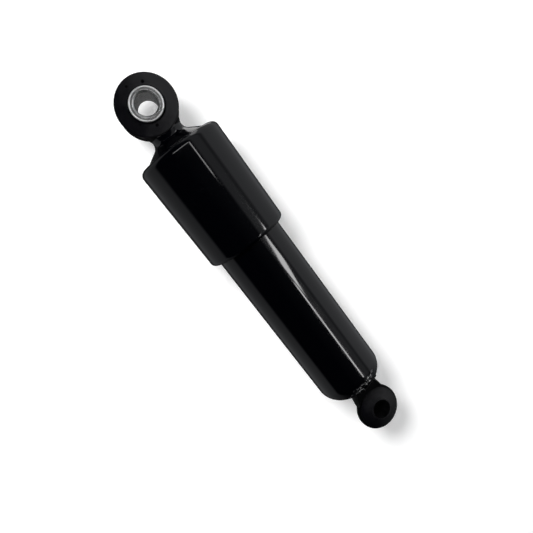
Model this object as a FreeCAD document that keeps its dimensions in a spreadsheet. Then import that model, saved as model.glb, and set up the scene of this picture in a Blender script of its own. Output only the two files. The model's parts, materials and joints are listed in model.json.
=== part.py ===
import FreeCAD, Part
import math
import os

import Sketcher

# Rear shock absorber: a twin-tube hydraulic damper with an eye at each end.
#
# Frame: the origin is the middle of the upper bore, +Z runs up the damper's axis and +Y runs
# along both bores. The damper is drawn fully extended. Most places are depths, in millimetres
# below the upper bore's centre, because the whole stack hangs from that bore.

os.makedirs("parts", exist_ok=True)
doc = FreeCAD.newDocument("RearShock")

# ------------------------------------------------------------------------------------------
# Driving dimensions, in millimetres unless the note says otherwise
# ------------------------------------------------------------------------------------------

SIZES = [
    ("eye_distance", 228.5, "upper bore centre to lower bore centre, fully extended"),
    ("stroke", 45.0, "travel from fully extended to fully compressed"),

    ("sleeve_bore_radius", 6.0, "upper mounting bolt hole"),
    ("sleeve_wall", 3.2, "steel spacer sleeve, radial thickness"),
    ("sleeve_length", 24.5, "length along the bolt"),
    ("sleeve_chamfer", 0.9, "chamfer on both ends of the sleeve"),
    ("wind_up_clearance", 0.05, "sleeve to rubber, radial"),
    ("upper_ring_radius", 16.0, "outside of the upper eye"),
    ("upper_ring_width", 15.6, "upper eye, along the bolt"),
    ("ring_wall", 2.6, "radial thickness of both eye rings"),
    ("upper_ring_edge", 0.6, "rounding of the upper ring's edges"),
    ("flange_overhang", 0.7, "rubber flange beyond the upper ring, radial"),
    ("flange_thickness", 2.0, "rubber flange, along the bolt"),
    ("flange_rounding", 0.9, "edge of the rubber flange"),
    ("flange_recess", 0.9, "bevel of the rubber round the sleeve"),

    ("lower_eye_offset", 2.2, "lower eye beside the damper's axis, towards +X"),
    ("lower_eye_twist", 9.5, "degrees the lower bore lies turned about the damper's axis"),
    ("lower_ring_radius", 14.4, "outside of the lower eye"),
    ("lower_ring_width", 4.0, "lower eye, along the bolt"),
    ("lower_ring_edge", 1.5, "rounding of the lower ring's edges"),
    ("lower_bore_radius", 6.0, "bare rubber bore of the lower eye"),
    ("lower_bush_front", 6.0, "from the ring's middle to the rubber bush's -Y end"),
    ("lower_bush_back", 13.4, "from the ring's middle to its +Y end, which spaces the bracket"),
    ("lower_lip_wall", 1.0, "raised lip round the lower bore, radial"),
    ("lower_lip_height", 0.7, "height of that lip"),
    ("lower_shoulder", 0.6, "rubber over the edge of the lower ring's flat face"),

    ("stem_radius", 9.7, "neck under the upper eye"),
    ("stem_blend", 4.6, "hollow between the neck and its conical foot"),
    ("neck_length", 3.4, "from under the upper ring to the start of the conical foot"),
    ("foot_height", 5.9, "height of the conical foot"),
    ("foot_radius", 19.1, "rim of the conical foot"),
    ("foot_edge", 0.5, "upright edge of that rim"),
    ("thread_radius", 5.0, "rod's threaded end in the neck"),
    ("thread_length", 7.0, "engagement of that thread"),
    ("weld_reach", 2.1, "how far the upper weld spreads beyond the neck"),

    ("shroud_radius", 25.9, "outside of the shroud at its top"),
    ("shroud_draft", 0.65, "radius that the shroud loses towards its open end"),
    ("shroud_wall", 1.3, "sheet thickness of the shroud"),
    ("shroud_length", 65.7, "crown to open rim"),
    ("shroud_corner", 3.6, "rounding of the crown's edge"),
    ("shroud_hole_gap", 0.4, "shroud hole to the rod's thread, radial"),
    ("rim_corner", 2.6, "rounding of the turned-in open rim"),
    ("rim_turn", 2.8, "how far the open rim turns in"),
    ("washer_radius", 14.0, "clamping washer under the crown"),
    ("washer_thickness", 2.0, "clamping washer"),

    ("rod_radius", 6.0, "piston rod"),
    ("spigot_radius", 4.0, "rod's lower end, through the piston"),
    ("rod_chamfer", 0.8, "chamfer on both ends of the rod"),
    ("rod_overhang", 1.0, "spigot standing out under the piston nut"),
    ("top_gap", 1.5, "washer to reservoir at full compression"),

    ("tube_radius", 20.8, "outside of the reservoir"),
    ("tube_wall", 1.5, "reservoir wall"),
    ("tube_end", 206.9, "depth of the reservoir's closed end"),
    ("dome_radius", 12.2, "rounding of the closed end"),
    ("lip_width", 5.0, "reservoir rim rolled in over the cover, radial"),
    ("lip_corner", 2.2, "outer rounding of the rolled rim"),
    ("bore_fit", 0.1, "pieces that drop into the reservoir, radial"),
    ("cover_thickness", 1.5, "seal cover"),
    ("cover_gap", 0.6, "seal cover to rod, radial"),

    ("running_clearance", 0.04, "rod in its bush and band in its tube, radial"),
    ("guide_length", 11.0, "rod guide's full-width part"),
    ("guide_spigot", 4.0, "rod guide's spigot in the pressure tube"),
    ("guide_bush_wall", 1.0, "bearing bush in the rod guide"),
    ("seal_pocket_radius", 12.0, "pocket for the rod seal"),
    ("seal_height", 6.0, "rod seal"),
    ("seal_web", 2.7, "closed top of the seal"),
    ("seal_wall", 1.5, "outer wall of the seal, radial"),
    ("seal_lip", 2.5, "sealing lip, radial"),
    ("seal_lip_end", 5.6, "the seal's top to the end of that lip"),
    ("seal_edge", 4.5, "the seal's top to the edge that wipes the rod"),
    ("seal_throat", 1.2, "hollow between that edge and the dust edge, radial"),
    ("seal_throat_end", 2.1, "the seal's top to the end of that hollow"),
    ("seal_dust_edge", 1.2, "height of the dust edge at the seal's top"),
    ("seal_clearance", 0.3, "free height over the seal"),
    ("ring_section", 1.1, "section radius of the static seal ring"),
    ("ring_groove_depth", 2.3, "its groove in the guide, radial"),
    ("ring_groove_width", 2.6, "its groove in the guide, along the axis"),
    ("ring_groove_start", 2.2, "guide's top to the groove"),
    ("garter_section", 0.8, "section radius of the seal's garter spring"),
    ("garter_drop", 4.3, "the seal's top to the middle of the garter spring"),

    ("pressure_bore", 12.5, "inside radius of the pressure tube"),
    ("pressure_wall", 1.2, "pressure tube"),
    ("spigot_fit", 0.1, "spigots in the pressure tube, radial"),

    ("stop_gap", 0.3, "rebound cushion to rod guide, fully extended"),
    ("cushion_height", 5.0, "rubber rebound cushion"),
    ("cushion_radius", 10.4, "rubber rebound cushion"),
    ("collar_height", 3.0, "steel collar that carries the cushion"),
    ("collar_radius", 8.6, "steel collar"),
    ("collar_to_stop", 2.6, "bare rod between the collar and the piston stack"),

    ("stop_plate_thickness", 1.2, "lift stop over the piston's check plate"),
    ("stop_plate_radius", 10.6, "lift stop"),
    ("piston_height", 12.0, "piston without its boss"),
    ("piston_gap", 0.3, "piston to pressure tube, radial"),
    ("piston_boss_radius", 7.9, "boss that guides the check plate"),
    ("piston_boss_height", 3.0, "the same boss"),
    ("band_height", 7.6, "sliding band round the piston"),
    ("band_groove_depth", 1.2, "its groove, radial"),
    ("band_play", 0.2, "band in its groove, above and below"),
    ("inner_port_circle", 6.3, "pitch radius of the piston's rebound ports"),
    ("inner_port_radius", 0.9, "rebound port"),
    ("outer_port_circle", 9.6, "pitch radius of the piston's compression ports"),
    ("outer_port_radius", 1.1, "compression port"),
    ("port_count", 6.0, "ports on each circle"),
    ("plate_gap", 0.3, "valve plates to what guides them, radial"),
    ("check_plate_radius", 11.2, "piston check plate"),
    ("check_plate_thickness", 0.8, "piston check plate"),
    ("check_spring_radius", 9.4, "mean radius of the check plate's spring"),
    ("check_wire_radius", 0.3, "its wire"),
    ("spacer_wall", 0.7, "spacer tube under the piston"),
    ("spacer_length", 8.0, "room for the rebound valve"),
    ("rebound_plate_radius", 8.3, "rebound valve plate"),
    ("rebound_plate_thickness", 1.0, "rebound valve plate"),
    ("rebound_spring_radius", 6.4, "mean radius of the rebound spring"),
    ("rebound_wire_radius", 0.7, "its wire"),
    ("seat_thickness", 1.0, "rebound spring's seat"),
    ("nut_height", 6.0, "piston nut"),
    ("nut_flats", 13.0, "piston nut across flats"),
    ("spring_play", 0.05, "wire to each seat at rest"),
    ("coil_steps", 16.0, "straight stretches that stand for one turn of a spring"),

    ("skirt_radius", 13.5, "foot valve's skirt, which stands in the dome"),
    ("skirt_wall", 2.0, "the same skirt"),
    ("skirt_length", 9.2, "the same skirt"),
    ("skirt_slot", 4.0, "width of the oil slots in the skirt"),
    ("skirt_slot_height", 6.0, "height of those slots"),
    ("foot_disc", 7.0, "foot valve's body above its skirt"),
    ("foot_spigot", 3.0, "its spigot in the pressure tube"),
    ("foot_boss_radius", 6.6, "boss that guides the foot check plate"),
    ("foot_boss_height", 2.4, "the same boss"),
    ("foot_inner_circle", 5.0, "pitch radius of the foot valve's bleed ports"),
    ("foot_inner_port", 0.8, "bleed port"),
    ("foot_outer_circle", 8.9, "pitch radius of the foot valve's return ports"),
    ("foot_outer_port", 1.1, "return port"),
    ("foot_plate_radius", 10.8, "foot check plate"),
    ("foot_plate_thickness", 0.8, "foot check plate"),
    ("foot_stop_radius", 9.6, "lift stop over the foot check plate"),
    ("foot_stop_thickness", 0.8, "lift stop"),
    ("foot_spring_radius", 8.5, "mean radius of the foot check spring"),
    ("foot_wire_radius", 0.25, "its wire"),
    ("pin_radius", 2.5, "pin that holds the foot valve together"),
    ("pin_head_radius", 3.9, "its head"),
    ("pin_head_height", 1.6, "its head"),
    ("pin_end_radius", 3.6, "its riveted end"),
    ("pin_end_height", 1.4, "its riveted end"),
    ("shim_radius", 7.2, "largest disc under the foot valve"),
    ("shim_step", 0.8, "each disc is this much smaller than the one above"),
    ("shim_thickness", 0.4, "one disc"),
    ("shim_count", 4.0, "discs in the stack"),

    ("weld_waist", 9.5, "waist of the lower weld, across the bolt"),
    ("weld_spread", 1.3, "how far the lower weld spreads over the dome and the ring"),
    ("weld_hollow", 2.5, "rounding of that waist"),
    ("weld_depth", 3.2, "depth from the dome's end to the weld's waist"),
    ("weld_breadth", 6.6, "half the lower weld's breadth along the bolt, at the dome"),
    ("weld_leg", 1.5, "lower weld on each face of the ring, along the bolt"),
    ("eye_clearance", 0.3, "welds and neck to the rubber, radial"),
]


class Size:
    """A length that carries its present value and the expression that gives it."""

    def __init__(self, value, text):
        self.value = value
        self.text = text

    def __add__(self, other):
        other = as_size(other)
        return Size(self.value + other.value, "(%s + %s)" % (self.text, other.text))

    def __sub__(self, other):
        other = as_size(other)
        return Size(self.value - other.value, "(%s - %s)" % (self.text, other.text))

    def __mul__(self, other):
        other = as_size(other)
        return Size(self.value * other.value, "(%s * %s)" % (self.text, other.text))

    def __truediv__(self, other):
        other = as_size(other)
        return Size(self.value / other.value, "(%s / %s)" % (self.text, other.text))

    def __neg__(self):
        return Size(-self.value, "(0 - %s)" % self.text)


def as_size(number):
    """Takes a Size as it is and gives a plain number an expression of its own."""
    if isinstance(number, Size):
        return number
    return Size(float(number), "%.9f" % number)


def root(size):
    """Square root, for lengths found with Pythagoras."""
    return Size(math.sqrt(size.value), "sqrt(%s)" % size.text)


class Lengths:
    """The driving dimensions by name, each one a Size read back from the sheet."""


def make_sheet():
    """Writes the driving dimensions to the sheet and returns them by name."""
    sheet = doc.addObject("Spreadsheet::Sheet", "Sizes")
    for row, (name, value, note) in enumerate(SIZES, start=1):
        sheet.set("A%d" % row, name)
        sheet.set("B%d" % row, str(value))
        sheet.setAlias("B%d" % row, name)
        sheet.set("C%d" % row, note)
    doc.recompute()
    lengths = Lengths()
    for name, value, note in SIZES:
        setattr(lengths, name, Size(float(sheet.get(name)), "Sizes." + name))
    return lengths


size = make_sheet()
NODES = []


def bind(feature, prop, length):
    """Ties one property of a feature to the sheet."""
    feature.setExpression(prop, as_size(length).text)


def place(feature, depth):
    """Puts a feature at a depth below the upper bore's centre."""
    bind(feature, "Placement.Base.z", -as_size(depth))


def turn_to_lower_eye(feature):
    """Moves a feature beside the damper's axis and turns it to face along the lower bore."""
    bind(feature, "Placement.Base.x", size.lower_eye_offset)
    bind(feature, "Placement.Rotation.Angle", size.lower_eye_twist)


def new_body(name, depth=0.0):
    """A PartDesign body that becomes one named piece."""
    body = doc.addObject("PartDesign::Body", name)
    body.Label = name
    place(body, depth)
    NODES.append(body)
    return body


def new_sketch(body, plane, offset=None):
    """A sketch on one of the body's own origin planes, moved along its normal if asked."""
    sketch = body.newObject("Sketcher::SketchObject", body.Name + "_sketch")
    for feature in body.Origin.OriginFeatures:
        if feature.Role == plane:
            sketch.AttachmentSupport = [(feature, "")]
    sketch.MapMode = "FlatFace"
    if offset is not None:
        sketch.setExpression("AttachmentOffset.Base.z", as_size(offset).text)
    return sketch


def hold(sketch, geometry, end, across, up):
    """Holds one end of a line, or a point, at a place given by two lengths."""
    for kind, length in (("DistanceX", across), ("DistanceY", up)):
        length = as_size(length)
        index = sketch.addConstraint(
            Sketcher.Constraint(kind, -1, 1, geometry, end, length.value))
        sketch.setExpression("Constraints[%d]" % index, length.text)


def outline(sketch, corners):
    """Draws a closed outline of straight runs; a corner's third value rounds it."""
    places = [FreeCAD.Vector(as_size(c[0]).value, as_size(c[1]).value, 0) for c in corners]
    count = len(corners)
    leaving = []
    arriving = []
    for i, corner in enumerate(corners):
        here = places[i]
        back = (places[i - 1] - here).normalize()
        ahead = (places[(i + 1) % count] - here).normalize()
        if len(corner) == 3:
            half = back.getAngle(ahead) / 2
            reach = as_size(corner[2]).value / math.tan(half)
            arriving.append(here + back * reach)
            leaving.append(here + ahead * reach)
        else:
            arriving.append(here)
            leaving.append(here)
    lines = []
    for i in range(count):
        run = Part.LineSegment(leaving[i], arriving[(i + 1) % count])
        lines.append(sketch.addGeometry(run, False))
    for i, corner in enumerate(corners):
        before = lines[i - 1]
        after = lines[i]
        if len(corner) == 2:
            sketch.addConstraint(Sketcher.Constraint("Coincident", before, 2, after, 1))
            hold(sketch, after, 1, corner[0], corner[1])
        else:
            round_corner(sketch, before, after, corner, arriving[i], leaving[i], places[i])


def round_corner(sketch, before, after, corner, start, finish, apex):
    """Joins two lines of an outline with a tangent arc and holds the corner they point at."""
    radius = as_size(corner[2])
    inward = ((start - apex).normalize() + (finish - apex).normalize()).normalize()
    centre = apex + inward * math.hypot((start - apex).Length, radius.value)
    begin = math.atan2(start.y - centre.y, start.x - centre.x)
    end = math.atan2(finish.y - centre.y, finish.x - centre.x)
    ring = Part.Circle(centre, FreeCAD.Vector(0, 0, 1), radius.value)
    if (start - centre).cross(finish - centre).z > 0:
        arc = sketch.addGeometry(Part.ArcOfCircle(ring, begin, end), False)
        sketch.addConstraint(Sketcher.Constraint("Tangent", before, 2, arc, 1))
        sketch.addConstraint(Sketcher.Constraint("Tangent", arc, 2, after, 1))
    else:
        arc = sketch.addGeometry(Part.ArcOfCircle(ring, end, begin), False)
        sketch.addConstraint(Sketcher.Constraint("Tangent", before, 2, arc, 2))
        sketch.addConstraint(Sketcher.Constraint("Tangent", arc, 1, after, 1))
    index = sketch.addConstraint(Sketcher.Constraint("Radius", arc, radius.value))
    sketch.setExpression("Constraints[%d]" % index, radius.text)
    point = sketch.addGeometry(Part.Point(apex), True)
    sketch.addConstraint(Sketcher.Constraint("PointOnObject", point, 1, before))
    sketch.addConstraint(Sketcher.Constraint("PointOnObject", point, 1, after))
    hold(sketch, point, 1, corner[0], corner[1])


def circle(sketch, across, up, radius):
    """Draws a circle whose centre and radius are tied to the sheet."""
    radius = as_size(radius)
    centre = FreeCAD.Vector(as_size(across).value, as_size(up).value, 0)
    ring = sketch.addGeometry(
        Part.Circle(centre, FreeCAD.Vector(0, 0, 1), radius.value), False)
    hold(sketch, ring, 3, across, up)
    index = sketch.addConstraint(Sketcher.Constraint("Radius", ring, radius.value))
    sketch.setExpression("Constraints[%d]" % index, radius.text)


def revolve(body, sketch, axis):
    """Turns a sketch once round one of its own axes."""
    turn = body.newObject("PartDesign::Revolution", body.Name + "_turn")
    turn.Profile = sketch
    turn.ReferenceAxis = (sketch, [axis])
    turn.Angle = 360
    sketch.Visibility = False
    return turn


def turned(name, depth, corners):
    """A piece turned about the damper's axis, from (radius, depth under its own top) corners."""
    body = new_body(name, depth)
    sketch = new_sketch(body, "XZ_Plane")
    outline(sketch, [(c[0], -as_size(c[1])) + tuple(c[2:]) for c in corners])
    revolve(body, sketch, "V_Axis")
    return body


def eye_piece(name, depth, corners):
    """A piece turned about a bore, from (place along the bore, radius) corners."""
    body = new_body(name, depth)
    sketch = new_sketch(body, "YZ_Plane")
    outline(sketch, corners)
    revolve(body, sketch, "H_Axis")
    return body


def washer(name, depth, inner, outer, thickness):
    """A flat round plate with a hole."""
    return turned(name, depth, [(inner, 0), (outer, 0), (outer, thickness), (inner, thickness)])


def tube(name, depth, inner, wall, length, chamfer):
    """A plain tube whose outer ends are chamfered."""
    outer = inner + wall
    return turned(name, depth, [
        (inner, 0), (outer - chamfer, 0), (outer, chamfer),
        (outer, length - chamfer), (outer - chamfer, length), (inner, length)])


def cut_through(body, sketch):
    """Cuts a sketch through the whole body, both ways from its plane."""
    pocket = body.newObject("PartDesign::Pocket", body.Name + "_cut")
    pocket.Profile = sketch
    pocket.Type = 1
    pocket.Midplane = True
    sketch.Visibility = False
    return pocket


def repeat_round_axis(body, feature, sketch, count):
    """Repeats a cut evenly round the damper's axis."""
    pattern = body.newObject("PartDesign::PolarPattern", body.Name + "_ring")
    pattern.Originals = [feature]
    pattern.Axis = (sketch, ["N_Axis"])
    pattern.Angle = 360
    bind(pattern, "Occurrences", count)
    body.Tip = pattern
    return pattern


def drill_ring(body, pitch, radius, count):
    """A ring of round ports parallel to the damper's axis."""
    sketch = new_sketch(body, "XY_Plane")
    circle(sketch, pitch, 0, radius)
    pocket = cut_through(body, sketch)
    return repeat_round_axis(body, pocket, sketch, count)


def coil(name, depth, radius, wire, length, turns):
    """A spring of round wire that fills the given length with play at both ends."""
    travel = length - wire * 2 - size.spring_play * 2
    steps = int(size.coil_steps.value * turns)
    sections = []
    for k in range(steps + 1):
        angle = 360 * turns * k / steps
        section = doc.addObject("Part::Circle", "%s_wire_%d" % (name, k))
        bind(section, "Radius", wire)
        section.Placement.Rotation = FreeCAD.Rotation(angle, 0, 90)
        bind(section, "Placement.Base.x", radius * math.cos(math.radians(angle)))
        bind(section, "Placement.Base.y", radius * math.sin(math.radians(angle)))
        bind(section, "Placement.Base.z", travel * (k / steps))
        sections.append(section)
    wound = doc.addObject("Part::Loft", name)
    wound.Label = name
    wound.Sections = sections
    wound.Ruled = True
    wound.Solid = True
    place(wound, depth + length - wire - size.spring_play)
    NODES.append(wound)
    return wound


def torus(name, depth, radius, section):
    """A plain ring of round section about the damper's axis."""
    ring = doc.addObject("Part::Torus", name)
    ring.Label = name
    bind(ring, "Radius1", radius)
    bind(ring, "Radius2", section)
    place(ring, depth)
    NODES.append(ring)
    return ring


def clear_eye(body, centre, ring_radius, ring_width, rubber_radius):
    """Copes a body to an eye: the ring over its width, and the rubber beyond it each way."""
    middle = new_sketch(body, "XZ_Plane")
    circle(middle, 0, centre, ring_radius)
    cut_through(body, middle)
    for side in (1, -1):
        sketch = new_sketch(body, "XZ_Plane", ring_width / 2 * side)
        circle(sketch, 0, centre, rubber_radius + size.eye_clearance)
        pocket = body.newObject("PartDesign::Pocket", body.Name + "_side")
        pocket.Profile = sketch
        pocket.Type = 1
        pocket.Reversed = side > 0
        sketch.Visibility = False


def cut_piece(name, blank, tool):
    """A piece left when one feature is cut out of a blank; the blank itself isn't written."""
    piece = doc.addObject("Part::Cut", name)
    piece.Label = name
    piece.Base = blank
    piece.Tool = tool
    NODES.remove(blank)
    NODES.append(piece)
    return piece


# ------------------------------------------------------------------------------------------
# The stack of depths, from the upper bore down
# ------------------------------------------------------------------------------------------

foot_start = size.upper_ring_radius + size.neck_length
crown_depth = foot_start + size.foot_height
washer_depth = crown_depth + size.shroud_wall
shoulder_depth = washer_depth + size.washer_thickness
tube_depth = shoulder_depth + size.top_gap + size.stroke
cover_depth = tube_depth + size.tube_wall
guide_depth = cover_depth + size.cover_thickness
guide_shoulder = guide_depth + size.guide_length
cushion_depth = guide_shoulder + size.guide_spigot + size.stop_gap
collar_depth = cushion_depth + size.cushion_height
stop_depth = collar_depth + size.collar_height + size.collar_to_stop
boss_depth = stop_depth + size.stop_plate_thickness
piston_face = boss_depth + size.piston_boss_height
piston_end = piston_face + size.piston_height
seat_depth = piston_end + size.spacer_length
nut_depth = seat_depth + size.seat_thickness
rod_end = nut_depth + size.nut_height + size.rod_overhang

sleeve_radius = size.sleeve_bore_radius + size.sleeve_wall
flange_radius = size.upper_ring_radius + size.flange_overhang
lower_face_radius = size.lower_ring_radius - size.lower_ring_edge
tube_bore = size.tube_radius - size.tube_wall
drop_in_radius = tube_bore - size.bore_fit
spigot_outside = size.pressure_bore - size.spigot_fit
pressure_outside = size.pressure_bore + size.pressure_wall
rod_passage = size.rod_radius + size.running_clearance

# The skirt stands where its outer edge meets the inside of the dome.
dome_centre = size.tube_radius - size.dome_radius
dome_inside = size.dome_radius - size.tube_wall
skirt_offset = size.skirt_radius - dome_centre
skirt_end = (size.tube_end - size.dome_radius
             + root(dome_inside * dome_inside - skirt_offset * skirt_offset))
foot_under = skirt_end - size.skirt_length
foot_face = foot_under - size.foot_disc
foot_boss = foot_face - size.foot_boss_height
foot_stop = foot_boss - size.foot_stop_thickness


# ------------------------------------------------------------------------------------------
# Upper eye, neck and dust shroud
# ------------------------------------------------------------------------------------------

def upper_sleeve():
    """Steel spacer sleeve that the mounting bolt clamps."""
    half = size.sleeve_length / 2
    bevel = size.sleeve_chamfer
    bore = size.sleeve_bore_radius
    eye_piece("upper_sleeve", 0, [
        (-half + bevel, bore), (half - bevel, bore), (half, bore + bevel),
        (half, sleeve_radius - bevel), (half - bevel, sleeve_radius),
        (-half + bevel, sleeve_radius), (-half, sleeve_radius - bevel), (-half, bore + bevel)])


def upper_bush():
    """Rubber bush with a flange over each face of the upper ring."""
    seat = size.upper_ring_width / 2
    face = seat + size.flange_thickness
    bore = sleeve_radius + size.wind_up_clearance
    body = size.upper_ring_radius - size.ring_wall
    bevel = size.flange_recess
    eye_piece("upper_bush", 0, [
        (-face + bevel, bore), (face - bevel, bore), (face, bore + bevel),
        (face, flange_radius, size.flange_rounding), (seat, flange_radius),
        (seat, body), (-seat, body), (-seat, flange_radius),
        (-face, flange_radius, size.flange_rounding), (-face, bore + bevel)])


def eye_ring(name, depth, radius, width, edge):
    """A plain steel ring with rounded outer edges."""
    half = width / 2
    inner = radius - size.ring_wall
    return eye_piece(name, depth, [
        (-half, inner), (half, inner), (half, radius, edge), (-half, radius, edge)])


def under_ring(radius, reach):
    """Depth under a bore's centre where a ring's side stands at a reach from the middle."""
    return root(radius * radius - reach * reach)


def upper_stem():
    """Turned neck: coped to the ring above, spreading into a conical foot below."""
    top = under_ring(size.upper_ring_radius, size.stem_radius)
    thread_top = crown_depth - size.thread_length
    body = turned("upper_stem", 0, [
        (0, top), (size.stem_radius, top),
        (size.stem_radius, foot_start, size.stem_blend),
        (size.foot_radius, crown_depth - size.foot_edge),
        (size.foot_radius, crown_depth),
        (size.thread_radius, crown_depth), (size.thread_radius, thread_top),
        (0, thread_top)])
    clear_eye(body, 0, size.upper_ring_radius, size.upper_ring_width, flange_radius)
    return body


def upper_weld(stem):
    """Weld fillets between the ring and the neck."""
    spread = size.stem_radius + size.weld_reach
    top = under_ring(size.upper_ring_radius, spread)
    blank = turned("upper_weld_blank", 0, [
        (0, top), (spread, top), (size.stem_radius, size.upper_ring_radius),
        (0, size.upper_ring_radius)])
    clear_eye(blank, 0, size.upper_ring_radius, size.upper_ring_width, flange_radius)
    cut_piece("upper_weld", blank, stem)


def dust_shroud():
    """Drawn cup over the reservoir, clamped at its crown, with a turned-in rim."""
    wall = size.shroud_wall
    open_radius = size.shroud_radius - size.shroud_draft
    hole = size.thread_radius + size.shroud_hole_gap
    lip = open_radius - size.rim_turn
    turned("dust_shroud", crown_depth, [
        (hole, 0), (size.shroud_radius, 0, size.shroud_corner),
        (open_radius, size.shroud_length, size.rim_corner),
        (lip, size.shroud_length), (lip, size.shroud_length - wall),
        (open_radius - wall, size.shroud_length - wall, size.rim_corner - wall),
        (size.shroud_radius - wall, wall, size.shroud_corner - wall), (hole, wall)])


# ------------------------------------------------------------------------------------------
# Rod and piston
# ------------------------------------------------------------------------------------------

def piston_rod():
    """Rod with a threaded end in the neck and a spigot through the piston."""
    top = crown_depth - size.thread_length
    bevel = size.rod_chamfer
    turned("piston_rod", 0, [
        (0, top), (size.thread_radius - bevel, top), (size.thread_radius, top + bevel),
        (size.thread_radius, shoulder_depth), (size.rod_radius, shoulder_depth),
        (size.rod_radius, stop_depth), (size.spigot_radius, stop_depth),
        (size.spigot_radius, rod_end - bevel), (size.spigot_radius - bevel, rod_end),
        (0, rod_end)])


def rebound_stop():
    """Rubber cushion on a steel collar that meets the rod guide at full extension."""
    bevel = size.cushion_height / 5
    turned("rebound_cushion", cushion_depth, [
        (size.rod_radius, 0), (size.cushion_radius - bevel, 0, bevel / 2),
        (size.cushion_radius, bevel * 2, bevel / 2),
        (size.cushion_radius - bevel, size.cushion_height), (size.rod_radius, size.cushion_height)])
    washer("rebound_collar", collar_depth, size.rod_radius, size.collar_radius,
           size.collar_height)


def ported_plate(name, depth, hole, radius, thickness, pitch, port):
    """A lift stop: a plate whose holes line up with the ports under it."""
    body = washer(name, depth, hole, radius, thickness)
    drill_ring(body, pitch, port, size.port_count)


def piston():
    """Sintered piston with a guiding boss, a band groove and two rings of ports."""
    outside = size.pressure_bore - size.piston_gap
    groove = outside - size.band_groove_depth
    boss = size.piston_boss_height
    groove_height = size.band_height + size.band_play * 2
    groove_top = boss + (size.piston_height - groove_height) / 2
    groove_end = groove_top + groove_height
    end = boss + size.piston_height
    body = turned("piston", boss_depth, [
        (size.spigot_radius, 0), (size.piston_boss_radius, 0), (size.piston_boss_radius, boss),
        (outside, boss), (outside, groove_top), (groove, groove_top), (groove, groove_end),
        (outside, groove_end), (outside, end), (size.spigot_radius, end)])
    drill_ring(body, size.inner_port_circle, size.inner_port_radius, size.port_count)
    drill_ring(body, size.outer_port_circle, size.outer_port_radius, size.port_count)


def piston_band():
    """Low-friction band in the piston's groove, running in the pressure tube."""
    groove = size.pressure_bore - size.piston_gap - size.band_groove_depth
    inner = groove + size.running_clearance
    outer = size.pressure_bore - size.running_clearance
    slack = size.piston_height - size.band_height
    washer("piston_band", piston_face + slack / 2, inner, outer, size.band_height)


def piston_valves():
    """Check plate over the piston, and the sprung rebound plate under it."""
    plate_depth = piston_face - size.check_plate_thickness
    washer("piston_check_plate", plate_depth, size.piston_boss_radius + size.plate_gap,
           size.check_plate_radius, size.check_plate_thickness)
    coil("check_spring", boss_depth, size.check_spring_radius, size.check_wire_radius,
         size.piston_boss_height - size.check_plate_thickness, 2)
    spacer_radius = size.spigot_radius + size.spacer_wall
    washer("piston_spacer", piston_end, size.spigot_radius, spacer_radius, size.spacer_length)
    washer("rebound_plate", piston_end, spacer_radius + size.plate_gap,
           size.rebound_plate_radius, size.rebound_plate_thickness)
    coil("rebound_spring", piston_end + size.rebound_plate_thickness,
         size.rebound_spring_radius, size.rebound_wire_radius,
         size.spacer_length - size.rebound_plate_thickness, 3.5)
    washer("rebound_seat", seat_depth, size.spigot_radius, size.rebound_plate_radius,
           size.seat_thickness)


def piston_nut():
    """Hexagon nut that clamps the piston stack against the rod's shoulder."""
    body = new_body("piston_nut", nut_depth + size.nut_height)
    sketch = new_sketch(body, "XY_Plane")
    reach = size.nut_flats / math.sqrt(3)
    corners = []
    for k in range(6):
        turn = math.radians(60 * k)
        corners.append((reach * math.cos(turn), reach * math.sin(turn)))
    outline(sketch, corners)
    circle(sketch, 0, 0, size.spigot_radius)
    pad = body.newObject("PartDesign::Pad", "piston_nut_pad")
    pad.Profile = sketch
    bind(pad, "Length", size.nut_height)
    sketch.Visibility = False


# ------------------------------------------------------------------------------------------
# Reservoir, guide and seals
# ------------------------------------------------------------------------------------------

def reservoir_tube():
    """Drawn reservoir with a domed end and a rim rolled in over the cover."""
    wall = size.tube_wall
    length = size.tube_end - tube_depth
    lip = size.tube_radius - size.lip_width
    turned("reservoir_tube", tube_depth, [
        (lip, 0), (size.tube_radius, 0, size.lip_corner),
        (size.tube_radius, length, size.dome_radius), (0, length), (0, length - wall),
        (tube_bore, length - wall, dome_inside),
        (tube_bore, wall, size.lip_corner - wall), (lip, wall)])


def seals_and_guide():
    """Cover, lip seal, static seal ring, guide and bearing bush at the reservoir's mouth."""
    bevel = size.lip_corner - size.tube_wall
    cover_hole = size.rod_radius + size.cover_gap
    turned("seal_cover", cover_depth, [
        (cover_hole, 0), (drop_in_radius - bevel, 0), (drop_in_radius, bevel),
        (drop_in_radius, size.cover_thickness), (cover_hole, size.cover_thickness)])

    bush_outside = rod_passage + size.guide_bush_wall
    pocket = size.seal_height + size.seal_clearance
    groove = drop_in_radius - size.ring_groove_depth
    groove_end = size.ring_groove_start + size.ring_groove_width
    guide_end = size.guide_length + size.guide_spigot
    turned("rod_guide", guide_depth, [
        (size.seal_pocket_radius, 0), (drop_in_radius, 0),
        (drop_in_radius, size.ring_groove_start), (groove, size.ring_groove_start),
        (groove, groove_end), (drop_in_radius, groove_end),
        (drop_in_radius, size.guide_length), (spigot_outside, size.guide_length),
        (spigot_outside, guide_end), (bush_outside, guide_end), (bush_outside, pocket),
        (size.seal_pocket_radius, pocket)])
    washer("guide_bush", guide_depth + pocket, rod_passage, bush_outside, guide_end - pocket)
    ring_depth = guide_depth + size.ring_groove_start + size.ring_groove_width / 2
    torus("guide_seal_ring", ring_depth, drop_in_radius - size.ring_section, size.ring_section)

    rod_seal()


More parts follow.
